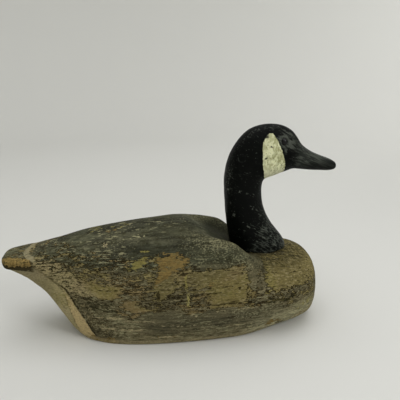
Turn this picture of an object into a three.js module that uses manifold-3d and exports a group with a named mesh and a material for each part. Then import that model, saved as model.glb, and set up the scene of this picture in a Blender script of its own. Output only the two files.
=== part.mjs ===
// A carved wooden Canada goose decoy: a solid body with a flat underside, raised shoulders and a
// paddle tail, a neck and head carved in one piece that stands on the breast, and two glass eyes.
// Millimetres, +X towards the bill, +Y to the bird's left, +Z up. The origin is on the floor,
// below the middle of the whole decoy.
import * as THREE from "three";
import { mergeVertices } from "three/addons/utils/BufferGeometryUtils.js";
import Module from "manifold-3d";

const BODY_LENGTH = 526; // from the tail's end to the front of the breast
const BODY_WIDTH = 214; // across the fullest part of the flanks
const BASE_WIDTH = 180; // across the fullest part of the flat underside
const BREAST_ROUNDING = 90; // how far behind its front the breast starts to narrow
const BREAST_CROWN = 52; // how far behind its front the breast starts to fall
const BREAST_CHIN = 23; // how far behind its front the underside starts to rise
const BACK_HEIGHT = 185; // the back over the floor
const SHELF_HEIGHT = 118; // the breast at the front of the neck, over the floor
const TAIL_HEIGHT = 138; // the upper edge of the tail's end, over the floor
const TAIL_WIDTH = 84; // across the paddle of the tail
const TAIL_THICKNESS = 20; // at the edge of the paddle
const TAIL_ROUNDING = 12; // how far the worn end of the paddle is rounded off
const HOLLOW_DEPTH = 41; // the hollow between the shoulders, behind the neck
const WING_GROOVE = 5; // the depth of the groove between a shoulder and the breast
const NECK_SETBACK = 50; // from the front of the breast to the front of the neck's foot
const NECK_HEIGHT = 218; // from the breast at the front of the neck to the crown
const NECK_WIDTH = 66; // across the foot of the neck
const HEAD_WIDTH = 56; // across the cheeks
const BILL_WIDTH = 25; // across the bill, just behind its rounded tip
const EYE_DIAMETER = 11;
const EYE_SINK = 3; // how deep the back of an eye sits in the cheek
const EYE_BULGE = 2.2; // how far an eye stands out of the cheek
const FIT_GAP = 0.3; // between pieces that touch

// How square each rounding is: 2 is round, and higher is squarer.
const TAIL_END_POWER = 2.3;
const BREAST_PLAN_POWER = 2.5;
const BREAST_SIDE_POWER = 3.4;
const LIP_POWER = 5;
const HOLLOW_POWER = 4;

// Shares that give the carving its proportions.
const BASE_INSET = 0.95; // the flat underside stays within this share of the flanks
const GROOVE_PLACE = 0.785; // along the body, from the tail's end
const GROOVE_REACH = 0.028;
const EYE_WALL = 0.6; // how much of an eye's sunk part is straight

const STATIONS = 62; // sections along the body
const BELLY_STEPS = 4; // points on half of a section's flat underside
const FLANK_STEPS = 8; // points from there up to the fullest part of the flank
const BACK_STEPS = 17; // points from there up to the middle of the back
const NECK_STEPS = 38; // sections along the neck, head and bill
const NECK_SIDES = 26; // points round each of them
const EYE_STEPS = 4; // rings on an eye's dome
const EYE_SIDES = 18;

const wasm = await Module();
wasm.setup();

const mix = (from, to, share) => from + (to - from) * share;
const clamp01 = (value) => Math.max(0, Math.min(1, value));

// A smooth curve through [place, value] pairs that doesn't swing past its values.
function curveThrough(pairs) {
  const slopes = pairs.slice(1).map(([x, y], i) => (y - pairs[i][1]) / (x - pairs[i][0]));
  const tangents = pairs.map((_, i) => {
    const before = slopes[Math.max(i - 1, 0)];
    const after = slopes[Math.min(i, slopes.length - 1)];
    return before * after > 0 ? (2 * before * after) / (before + after) : 0;
  });
  return (x) => {
    const passed = pairs.findIndex(([place]) => place > x);
    const i = passed < 0 ? pairs.length - 2 : Math.max(passed - 1, 0);
    const [x0, y0] = pairs[i];
    const [x1, y1] = pairs[i + 1];
    const run = x1 - x0;
    const t = clamp01((x - x0) / run);
    const start = (1 + 2 * t) * (1 - t) ** 2 * y0 + t * (1 - t) ** 2 * run * tangents[i];
    const end = t ** 2 * (3 - 2 * t) * y1 - t ** 2 * (1 - t) * run * tangents[i + 1];
    return start + end;
  };
}

// How far a blunt end has opened: 0 at its tip, 1 where its rounding is over.
const opened = (distance, rounding, power) =>
  distance >= rounding ? 1 : (1 - (1 - distance / rounding) ** power) ** (1 / power);

// The height of a rounded corner over a share of its run, from 1 down to 0.
const corner = (share, power) => (1 - clamp01(share) ** power) ** (1 / power);

// The curves below run along the body: place 0 is the tail's end, place 1 the front of the breast.
const flankWidth = curveThrough([
  [0, TAIL_WIDTH * 0.56],
  [0.04, TAIL_WIDTH * 0.8],
  [0.08, TAIL_WIDTH * 0.96],
  [0.13, mix(TAIL_WIDTH, BODY_WIDTH, 0.03)],
  [0.19, mix(TAIL_WIDTH, BODY_WIDTH, 0.15)],
  [0.28, mix(TAIL_WIDTH, BODY_WIDTH, 0.5)],
  [0.4, mix(TAIL_WIDTH, BODY_WIDTH, 0.77)],
  [0.52, mix(TAIL_WIDTH, BODY_WIDTH, 0.94)],
  [0.64, BODY_WIDTH],
  [0.76, BODY_WIDTH * 0.985],
  [0.88, BODY_WIDTH * 0.95],
  [1, BODY_WIDTH * 0.9],
]);
const baseWidth = curveThrough([
  [0.19, 0],
  [0.21, BASE_WIDTH * 0.2],
  [0.235, BASE_WIDTH * 0.5],
  [0.27, BASE_WIDTH * 0.68],
  [0.33, BASE_WIDTH * 0.84],
  [0.43, BASE_WIDTH * 0.95],
  [0.6, BASE_WIDTH],
  [0.7, BASE_WIDTH * 0.98],
  [0.75, BASE_WIDTH * 0.92],
  [0.8, BASE_WIDTH * 0.81],
  [0.85, BASE_WIDTH * 0.66],
  [0.9, BASE_WIDTH * 0.5],
  [0.95, BASE_WIDTH * 0.29],
  [1, 0],
]);
const backLine = curveThrough([
  [0, TAIL_HEIGHT],
  [0.04, mix(TAIL_HEIGHT, BACK_HEIGHT, 0.02)],
  [0.08, mix(TAIL_HEIGHT, BACK_HEIGHT, 0.06)],
  [0.12, mix(TAIL_HEIGHT, BACK_HEIGHT, 0.21)],
  [0.17, mix(TAIL_HEIGHT, BACK_HEIGHT, 0.4)],
  [0.285, mix(TAIL_HEIGHT, BACK_HEIGHT, 0.69)],
  [0.415, mix(TAIL_HEIGHT, BACK_HEIGHT, 0.86)],
  [0.5, mix(TAIL_HEIGHT, BACK_HEIGHT, 0.93)],
  [0.58, BACK_HEIGHT],
  [0.64, mix(SHELF_HEIGHT, BACK_HEIGHT, 0.985)],
  [0.68, mix(SHELF_HEIGHT, BACK_HEIGHT, 0.95)],
  [0.706, mix(SHELF_HEIGHT, BACK_HEIGHT, 0.87)],
  [0.73, mix(SHELF_HEIGHT, BACK_HEIGHT, 0.66)],
  [0.765, mix(SHELF_HEIGHT, BACK_HEIGHT, 0.34)],
  [0.8, mix(SHELF_HEIGHT, BACK_HEIGHT, 0.1)],
  [0.84, mix(SHELF_HEIGHT, BACK_HEIGHT, 0.01)],
  [0.9, SHELF_HEIGHT],
  [1, SHELF_HEIGHT * 0.985],
]);
const bellyLine = curveThrough([
  [0, TAIL_HEIGHT * 0.88],
  [0.02, TAIL_HEIGHT * 0.815],
  [0.045, TAIL_HEIGHT * 0.752],
  [0.07, TAIL_HEIGHT * 0.678],
  [0.105, TAIL_HEIGHT * 0.56],
  [0.125, TAIL_HEIGHT * 0.49],
  [0.152, TAIL_HEIGHT * 0.34],
  [0.179, TAIL_HEIGHT * 0.16],
  [0.201, TAIL_HEIGHT * 0.03],
  [0.216, 0],
  [1, 0],
]);
// The height of the fullest part of the flank, which is the middle of the tail's edge.
const beamLine = curveThrough([
  [0, TAIL_HEIGHT - TAIL_THICKNESS * 0.4],
  [0.06, TAIL_HEIGHT - TAIL_THICKNESS * 0.4],
  [0.12, TAIL_HEIGHT * 0.88],
  [0.2, TAIL_HEIGHT * 0.72],
  [0.3, BACK_HEIGHT * 0.47],
  [0.5, BACK_HEIGHT * 0.42],
  [0.78, SHELF_HEIGHT * 0.56],
  [1, SHELF_HEIGHT * 0.47],
]);
// Under the tail the rump is narrower than the paddle, whose edge stands out as a lip.
const rumpShare = curveThrough([
  [0, 0.7],
  [0.06, 0.82],
  [0.11, 0.93],
  [0.16, 1],
  [1, 1],
]);
const lipDepth = curveThrough([
  [0, TAIL_THICKNESS * 0.3],
  [0.03, TAIL_THICKNESS * 0.45],
  [0.08, TAIL_THICKNESS * 0.45],
  [0.16, 0],
  [1, 0],
]);
// How square the section is below and above the fullest part of the flank.
const lowPower = curveThrough([
  [0, 2],
  [0.07, 1.7],
  [0.12, 2.1],
  [0.18, 3],
  [0.26, 2.2],
  [0.36, 1.6],
  [0.8, 1.6],
  [0.92, 1.75],
  [1, 2.4],
]);
const highPower = curveThrough([
  [0, 5],
  [0.06, 4.4],
  [0.12, 3],
  [0.18, 2.4],
  [0.4, 2],
  [0.7, 2],
  [0.8, 2.3],
  [1, 2.3],
]);
const hollowDepth = curveThrough([
  [0, 0],
  [0.52, 0],
  [0.56, HOLLOW_DEPTH * 0.1],
  [0.6, HOLLOW_DEPTH * 0.36],
  [0.64, HOLLOW_DEPTH * 0.64],
  [0.67, HOLLOW_DEPTH * 0.82],
  [0.7, HOLLOW_DEPTH * 0.96],
  [0.725, HOLLOW_DEPTH],
  [0.745, HOLLOW_DEPTH * 0.82],
  [0.77, HOLLOW_DEPTH * 0.4],
  [0.8, HOLLOW_DEPTH * 0.07],
  [0.82, 0],
  [1, 0],
]);
const hollowWidth = curveThrough([
  [0, NECK_WIDTH * 1.35],
  [0.56, NECK_WIDTH * 1.35],
  [0.7, NECK_WIDTH * 1.5],
  [1, NECK_WIDTH * 1.5],
]);
const grooveDepth = (place) => WING_GROOVE * Math.exp(-(((place - GROOVE_PLACE) / GROOVE_REACH) ** 2));

// One section across the body as [y, z] points, from the middle of the underside up the left flank
// to the middle of the back and down the right flank.
function bodySection(place) {
  const fromTail = place * BODY_LENGTH;
  const fromBreast = BODY_LENGTH - fromTail;
  const tailEnd = opened(fromTail, TAIL_ROUNDING, TAIL_END_POWER);
  const breastEnd = opened(fromBreast, BREAST_ROUNDING, BREAST_PLAN_POWER);
  const crownEnd = opened(fromBreast, BREAST_CROWN, BREAST_SIDE_POWER);
  const chinEnd = opened(fromBreast, BREAST_CHIN, BREAST_SIDE_POWER);
  const half = (flankWidth(place) / 2) * tailEnd * breastEnd;
  const level = beamLine(place);
  const rise = (backLine(place) - level) * tailEnd * crownEnd;
  const drop = (level - bellyLine(place)) * tailEnd * chinEnd;
  const flat = Math.min(baseWidth(place) / 2, half * BASE_INSET);
  const reach = half * rumpShare(place);
  const lip = lipDepth(place) * tailEnd;
  const under = (y) => {
    const rump = drop * corner((y - flat) / (reach - flat), lowPower(place));
    return level - Math.max(rump, lip * corner(y / half, LIP_POWER));
  };
  const left = [];
  for (let i = 0; i < BELLY_STEPS; i++) {
    const y = (flat * i) / BELLY_STEPS;
    left.push([y, under(y)]);
  }
  for (let i = 0; i < FLANK_STEPS; i++) {
    const turn = (Math.PI / 2) * (i / FLANK_STEPS);
    const y = mix(flat, half, Math.sin(turn));
    left.push([y, under(y)]);
  }
  for (let i = 0; i <= BACK_STEPS; i++) {
    const turn = (Math.PI / 2) * (i / BACK_STEPS);
    const power = 2 / highPower(place);
    const y = half * Math.max(0, Math.cos(turn)) ** power - grooveDepth(place) * Math.sin(2 * turn);
    const across = Math.abs(y) / (hollowWidth(place) / 2);
    const dip = hollowDepth(place) * Math.exp(-(across ** HOLLOW_POWER));
    left.push([y, level + rise * Math.sin(turn) ** power - dip]);
  }
  const right = left.slice(1, -1).map(([y, z]) => [-y, z]).reverse();
  return [...left, ...right];
}

// A closed shell over rings of points with the same number of points each, between two end points.
function shellOver(rings, first, last) {
  const sides = rings[0].length;
  const at = (ring, i) => 1 + ring * sides + (i % sides);
  const end = 1 + rings.length * sides;
  const index = [];
  for (let i = 0; i < sides; i++) {
    index.push(0, at(0, i + 1), at(0, i));
    index.push(end, at(rings.length - 1, i), at(rings.length - 1, i + 1));
    for (let ring = 0; ring + 1 < rings.length; ring++) {
      index.push(at(ring, i), at(ring, i + 1), at(ring + 1, i));
      index.push(at(ring + 1, i), at(ring, i + 1), at(ring + 1, i + 1));
    }
  }
  const geometry = new THREE.BufferGeometry();
  const points = [first, ...rings.flat(), last];
  geometry.setAttribute("position", new THREE.Float32BufferAttribute(points.flat(), 3));
  geometry.setIndex(index);
  return geometry;
}

// The sections stand closer together at both ends and in the hollow behind the neck.
const stationPlace = curveThrough([
  [0, 0],
  [0.016, 0.002],
  [0.1, 0.03],
  [0.29, 0.2],
  [0.48, 0.54],
  [0.77, 0.8],
  [0.88, 0.95],
  [0.984, 0.998],
  [1, 1],
]);

function bodyShell() {
  const rings = [];
  for (let i = 1; i < STATIONS; i++) {
    const place = stationPlace(i / STATIONS);
    rings.push(bodySection(place).map(([y, z]) => [place * BODY_LENGTH, y, z]));
  }
  return shellOver(rings, [0, 0, beamLine(0)], [BODY_LENGTH, 0, beamLine(1)]);
}

// Ribs of the neck and head from the foot to the bill: the outer edge, along the back of the neck
// and the crown, and the inner edge, along the throat and the chin. They are shares of NECK_HEIGHT
// from the front of the foot, level with the breast.
const NECK_RIBS = [
  { outer: [-0.441, -0.079], inner: [-0.004, -0.079] },
  { outer: [-0.451, 0.02], inner: [0.002, 0.03] },
  { outer: [-0.47, 0.119], inner: [-0.046, 0.116] },
  { outer: [-0.49, 0.238], inner: [-0.134, 0.22] },
  { outer: [-0.503, 0.377], inner: [-0.204, 0.372] },
  { outer: [-0.511, 0.5], inner: [-0.218, 0.483] },
  { outer: [-0.513, 0.604], inner: [-0.217, 0.542] },
  { outer: [-0.495, 0.703], inner: [-0.206, 0.58] },
  { outer: [-0.459, 0.805], inner: [-0.168, 0.593] },
  { outer: [-0.401, 0.892], inner: [-0.126, 0.604] },
  { outer: [-0.329, 0.961], inner: [-0.083, 0.616] },
  { outer: [-0.234, 0.994], inner: [-0.037, 0.631] },
  { outer: [-0.149, 1], inner: [0, 0.645] },
  { outer: [-0.081, 0.989], inner: [0.037, 0.648] },
  { outer: [-0.022, 0.965], inner: [0.069, 0.642] },
  { outer: [0.028, 0.924], inner: [0.106, 0.637] },
  { outer: [0.069, 0.857], inner: [0.149, 0.632] },
  { outer: [0.125, 0.807], inner: [0.19, 0.627] },
  { outer: [0.2, 0.764], inner: [0.246, 0.624] },
  { outer: [0.279, 0.733], inner: [0.299, 0.621] },
  { outer: [0.343, 0.707], inner: [0.343, 0.621] },
  { outer: [0.378, 0.684], inner: [0.37, 0.629] },
];
const BILL_TIP = [0.382, 0.652];
const NECK_REACH = BILL_TIP[0]; // how far the bill passes the front of the foot
const EYE_PLACE = [-0.083, 0.88]; // shares of NECK_HEIGHT too

// Along the ribs, from 0 at the foot to 1 at the last rib before the bill's tip.
const neckWidth = curveThrough([
  [0, NECK_WIDTH],
  [0.1, NECK_WIDTH * 0.97],
  [0.22, mix(NECK_WIDTH, HEAD_WIDTH, 0.8)],
  [0.3, HEAD_WIDTH * 0.98],
  [0.42, HEAD_WIDTH],
  [0.5, HEAD_WIDTH * 0.98],
  [0.6, HEAD_WIDTH * 0.89],
  [0.7, mix(BILL_WIDTH, HEAD_WIDTH, 0.55)],
  [0.8, mix(BILL_WIDTH, HEAD_WIDTH, 0.24)],
  [0.9, mix(BILL_WIDTH, HEAD_WIDTH, 0.05)],
  [0.95, BILL_WIDTH],
  [1, BILL_WIDTH * 0.76],
]);
const neckPower = curveThrough([
  [0, 2],
  [0.2, 2.1],
  [0.4, 2.4],
  [0.7, 2.3],
  [1, 2.2],
]);
// Positive where the section is fuller at its outer edge, negative where it is at its inner one.
const neckLean = curveThrough([
  [0, 0.16],
  [0.2, 0.1],
  [0.4, -0.04],
  [0.6, -0.14],
  [0.8, -0.16],
  [1, 0],
]);

const neckPlace = ([x, z]) => [
  BODY_LENGTH - NECK_SETBACK + x * NECK_HEIGHT,
  0,
  SHELF_HEIGHT + z * NECK_HEIGHT,
];
const alongNeck = (edge) =>
  new THREE.CatmullRomCurve3(NECK_RIBS.map((rib) => new THREE.Vector3(rib[edge][0], 0, rib[edge][1])));

function neckShell() {
  const outer = alongNeck("outer");
  const inner = alongNeck("inner");
  const rings = [];
  for (let i = 0; i <= NECK_STEPS; i++) {
    const along = i / NECK_STEPS;
    const a = outer.getPoint(along);
    const b = inner.getPoint(along);
    const middle = a.clone().add(b).multiplyScalar(0.5);
    const arm = a.clone().sub(b).multiplyScalar(0.5);
    const power = 2 / neckPower(along);
    const ring = [];
    for (let side = 0; side < NECK_SIDES; side++) {
      const turn = (-2 * Math.PI * side) / NECK_SIDES;
      const out = Math.sign(Math.cos(turn)) * Math.abs(Math.cos(turn)) ** power;
      const across = Math.sign(Math.sin(turn)) * Math.abs(Math.sin(turn)) ** power;
      const [x, , z] = neckPlace([middle.x + arm.x * out, middle.z + arm.z * out]);
      ring.push([x, (neckWidth(along) / 2) * across * (1 + neckLean(along) * Math.cos(turn)), z]);
    }
    rings.push(ring);
  }
  const foot = NECK_RIBS[0];
  const footMiddle = neckPlace([(foot.outer[0] + foot.inner[0]) / 2, foot.outer[1]]);
  return shellOver(rings, footMiddle, neckPlace(BILL_TIP));
}

function solidOf(geometry) {
  const bare = geometry.clone();
  bare.deleteAttribute("normal");
  bare.deleteAttribute("uv");
  const merged = mergeVertices(bare, 1e-4);
  const vertProperties = new Float32Array(merged.attributes.position.array);
  const triVerts = new Uint32Array(merged.index.array);
  return new wasm.Manifold(new wasm.Mesh({ numProp: 3, vertProperties, triVerts }));
}

function geometryOf(solid) {
  const { vertProperties, triVerts } = solid.getMesh();
  const geometry = new THREE.BufferGeometry();
  geometry.setAttribute("position", new THREE.BufferAttribute(vertProperties, 3));
  geometry.setIndex(new THREE.BufferAttribute(triVerts, 1));
  geometry.computeVertexNormals();
  return geometry;
}

// A glass eye along +Y with its flat back at the origin: a straight side and a domed front.
function eyeBead() {
  const wall = EYE_SINK * EYE_WALL;
  const dome = EYE_SINK + EYE_BULGE - wall;
  const profile = [new THREE.Vector2(0, 0), new THREE.Vector2(EYE_DIAMETER / 2, 0)];
  for (let i = 0; i < EYE_STEPS; i++) {
    const turn = (Math.PI / 2) * (i / EYE_STEPS);
    profile.push(new THREE.Vector2((EYE_DIAMETER / 2) * Math.cos(turn), wall + dome * Math.sin(turn)));
  }
  profile.push(new THREE.Vector2(0, wall + dome));
  return new THREE.LatheGeometry(profile, EYE_SIDES);
}

// The hole that an eye sits in, along +Y, open well past the cheek.
function eyeHole() {
  const depth = EYE_DIAMETER + EYE_SINK;
  const radius = EYE_DIAMETER / 2 + FIT_GAP;
  return new THREE.CylinderGeometry(radius, radius, depth, EYE_SIDES).translate(0, depth / 2 - FIT_GAP, 0);
}

// Where an eye's back sits: EYE_SINK below the cheek, square to it.
function eyeSeat(cheek, side) {
  const [x, , z] = neckPlace(EYE_PLACE);
  const from = new THREE.Vector3(x, side * HEAD_WIDTH, z);
  const [hit] = new THREE.Raycaster(from, new THREE.Vector3(0, -side, 0)).intersectObject(cheek);
  const outward = hit.face.normal.clone();
  const turn = new THREE.Quaternion().setFromUnitVectors(new THREE.Vector3(0, 1, 0), outward);
  const seat = hit.point.clone().addScaledVector(outward, -EYE_SINK);
  return new THREE.Matrix4().compose(seat, turn, new THREE.Vector3(1, 1, 1));
}

const paintedWood = new THREE.MeshStandardMaterial({ color: 0x5a5444, roughness: 0.85 });
const blackPaint = new THREE.MeshStandardMaterial({ color: 0x16191a, roughness: 0.55 });
const darkGlass = new THREE.MeshStandardMaterial({ color: 0x0b0806, roughness: 0.12 });

const goose = new THREE.Group();

function addPiece(name, geometry, material) {
  const piece = new THREE.Mesh(geometry, material.clone());
  piece.name = name;
  goose.add(piece);
  return piece;
}

const bodySolid = solidOf(bodyShell());
const neckSolid = solidOf(neckShell()).subtract(bodySolid.translate([0, 0, FIT_GAP]));
const cheek = new THREE.Mesh(geometryOf(neckSolid), blackPaint);
const seats = { eye_left: eyeSeat(cheek, 1), eye_right: eyeSeat(cheek, -1) };
const sockets = Object.values(seats).map((seat) => solidOf(eyeHole().applyMatrix4(seat)));
const headSolid = sockets.reduce((head, socket) => head.subtract(socket), neckSolid);

addPiece("body", geometryOf(bodySolid), paintedWood);
addPiece("neck_and_head", geometryOf(headSolid), blackPaint);
for (const [name, seat] of Object.entries(seats)) {
  addPiece(name, eyeBead().applyMatrix4(seat), darkGlass);
}
goose.position.x = -(BODY_LENGTH - NECK_SETBACK + NECK_REACH * NECK_HEIGHT) / 2;

export default goose;
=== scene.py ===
"""The finished goose decoy: a carved wooden bird in old, worn paint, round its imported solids.

Places and sizes on the bird are in millimetres, +X towards the bill, +Y to the bird's left and
+Z up. Colours are given as they look on a screen, from 0 to 255.
"""
import math
from collections import namedtuple

import bmesh
import bpy
from bpy.props import FloatProperty, FloatVectorProperty, IntProperty, PointerProperty
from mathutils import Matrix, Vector, noise


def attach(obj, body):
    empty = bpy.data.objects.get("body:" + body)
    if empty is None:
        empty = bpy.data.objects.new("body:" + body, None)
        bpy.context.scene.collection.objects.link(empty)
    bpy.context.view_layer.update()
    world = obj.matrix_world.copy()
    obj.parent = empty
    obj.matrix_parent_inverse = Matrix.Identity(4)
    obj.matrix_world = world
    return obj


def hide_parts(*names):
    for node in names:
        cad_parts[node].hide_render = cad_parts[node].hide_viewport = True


bl_info = {
    "name": "Goose decoy",
    "version": (1, 0, 0),
    "blender": (4, 5, 0),
    "location": "3D View > Sidebar > Decoy",
    "description": "Dresses a carved goose decoy in worn paint, with glass eyes, on a plain stage",
    "category": "Object",
}

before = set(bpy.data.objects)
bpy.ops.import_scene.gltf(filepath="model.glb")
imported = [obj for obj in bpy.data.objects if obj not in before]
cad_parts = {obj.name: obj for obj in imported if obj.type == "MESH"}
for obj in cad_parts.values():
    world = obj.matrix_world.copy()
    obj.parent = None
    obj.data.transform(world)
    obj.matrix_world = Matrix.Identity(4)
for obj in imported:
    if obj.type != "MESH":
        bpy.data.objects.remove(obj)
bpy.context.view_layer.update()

MM = 0.001
WELD = 0.01 * MM  # corners of a CAD node that lie closer than this are one
JOIN_BEND = math.radians(30)  # two triangles less bent than this become one face,
JOIN_SKEW = math.radians(50)  # if that face's corners are no further than this from square
HARD_EDGE = math.radians(38)  # sharper edges than this stay visible after rounding
EDGE_HOLD = 0.6  # how firmly they are held, from 0 to 1
NECK_ROUNDING = 2
SAME_WAY = 0.9999  # the cosine between two normals above which they are one face's

# The sizes of the carved relief along each axis, from a hand's width to a nick of the knife.
BODY_SWELL = (70, 42, 42)
BODY_STROKE = (34, 12, 10)
BODY_NICK = (16, 5, 5)
TAIL_SPLINTER = (7, 7, 6)
NECK_STROKE = (17, 12, 17)
NECK_NICK = (7, 6, 7)
# The ring of putty, measured from the top of each eye, and the eye's lens and pupil.
PUTTY_RADIUS = 8.2
PUTTY_WIDTH = 1.7
PUTTY_HEIGHT = 0.55
PUTTY_REACH = 14
LENS_WAIST = 0.32  # the share of a lens that lies behind its widest part
PUPIL_EDGE = (3.0, 3.6)

Patch = namedtuple("Patch", "middle reach turn", defaults=(0,))
Mark = namedtuple("Mark", "middle reach turn paint cover")
Dent = namedtuple("Dent", "middle reach depth")

# Where the wood is chipped and worn away, with the depth of each dent.
DENTS = (
    Dent((153, -94, 20), (10, 14, 5.5), 3.2),
    Dent((-236, -43, 131), (5, 9, 5), 2.4),
    Dent((-221, -45, 127), (4, 9, 4), 1.6),
    Dent((-263, -34, 128), (7, 9, 5), 1.6),
    Dent((-280, 9, 127), (6, 10, 6), 2.0),
    Dent((-250, 38, 133), (8, 9, 6), 2.0),
    Dent((-130, -71, 4), (15, 12, 7), 2.2),
    Dent((-121, 74, 3), (10, 12, 6), 2.0),
    Dent((178, 87, 15), (9, 14, 5), 2.4),
    Dent((9, -93, 129), (15, 12, 3.2), 1.0),
    Dent((30, -103, 91), (22, 12, 2.6), 0.9),
    Dent((-64, 24, 174), (9, 6, 9), 0.9),
    Dent((-150, 30, 163), (12, 7, 9), 0.8),
)

# Where the top coat is gone, down to the smooth olive coat.
WORN_PLACES = (
    Patch((44, -97, 117), (36, 40, 9)),
    Patch((76, -100, 91), (25, 40, 18)),
    Patch((-28, -88, 108), (12, 40, 13), 45),
    Patch((-124, -76, 98), (22, 40, 8)),
    Patch((-84, -86, 66), (14, 40, 12)),
    Patch((192, -78, 101), (54, 75, 12), 3),
    Patch((20, 97, 110), (62, 40, 15), -4),
    Patch((-96, 84, 92), (38, 40, 11), 6),
    Patch((190, 78, 97), (46, 60, 14), -3),
)
# Where the top coat has stayed on the flanks. The two patches in the groove before the breast keep it there
# as part of that groove's painted shade.
KEPT_PLACES = (
    Patch((-128, -76, 74), (34, 40, 12)),
    Patch((122, -85, 112), (13, 50, 20), -12),
    Patch((60, 100, 74), (52, 40, 12)),
    Patch((-150, 70, 122), (32, 40, 13)),
    Patch((122, 85, 112), (13, 50, 20), -12),
)
# Where round blots of the dark coat show.
BLOTTED_PLACES = (
    Patch((116, -98, 86), (18, 50, 16), 2),
    Patch((166, -95, 84), (46, 60, 10), 2),
    Patch((-20, -99, 84), (36, 40, 10)),
    Patch((205, -80, 82), (40, 60, 8), 4),
    Patch((150, 95, 86), (60, 60, 10), -2),
)
# Bare wood.
BARE_PLACES = (
    Patch((-15, -84, 139), (17, 40, 7)),
    Patch((-29, -88, 125), (8, 40, 9), 40),
    Patch((-128, -70, 4), (18, 30, 7)),
    Patch((152, -90, 25), (9, 20, 3.5)),
    Patch((-34, 84, 137), (16, 40, 6), 20),
    Patch((-150, 55, 6), (14, 30, 7)),
)
# Where the olive coat has gone yellow and green.
YELLOW_PLACES = (
    Patch((-122, -76, 98), (22, 40, 8)),
    Patch((139, -97, 96), (10, 30, 13)),
    Patch((76, -100, 92), (30, 40, 20)),
    Patch((208, -92, 48), (14, 40, 7)),
    Patch((28, 98, 106), (30, 40, 12)),
    Patch((-60, 90, 84), (20, 40, 12)),
)
# Where small pale specks lie close together.
SPECKLED_PLACES = (
    Patch((70, -72, 146), (54, 40, 22), -14),
    Patch((118, -98, 57), (44, 40, 13), 6),
    Patch((190, -88, 46), (44, 60, 15), 6),
    Patch((60, 72, 148), (60, 40, 22), -12),
)
# Where the top coat is smooth and whole.
SMOOTH_PLACES = (
    Patch((-30, -62, 160), (52, 30, 9), 2),
    Patch((30, -96, 48), (90, 40, 20)),
)
# Where the top coat is painted darker: in the groove before the breast, as painted shade in that crease, and
# in patches along and below the crest of the back.
DARK_PLACES = (
    Patch((126, -78, 118), (10, 40, 16), -12),
    Patch((-32, -64, 155), (34, 30, 6), 2),
    Patch((8, -26, 173), (52, 24, 6)),
    Patch((126, 78, 118), (10, 40, 16), -12),
    Patch((-60, 60, 155), (40, 30, 8), 2),
)
# The paler crest of each shoulder.
RIDGE_PLACES = (
    Patch((30, -40, 168), (50, 14, 7), -4),
    Patch((88, -62, 152), (34, 10, 7), -26),
    Patch((-60, -38, 168), (60, 14, 5), 2),
    Patch((-165, -34, 153), (50, 20, 9), 6),
    Patch((30, 40, 168), (50, 14, 7), -4),
)

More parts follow.
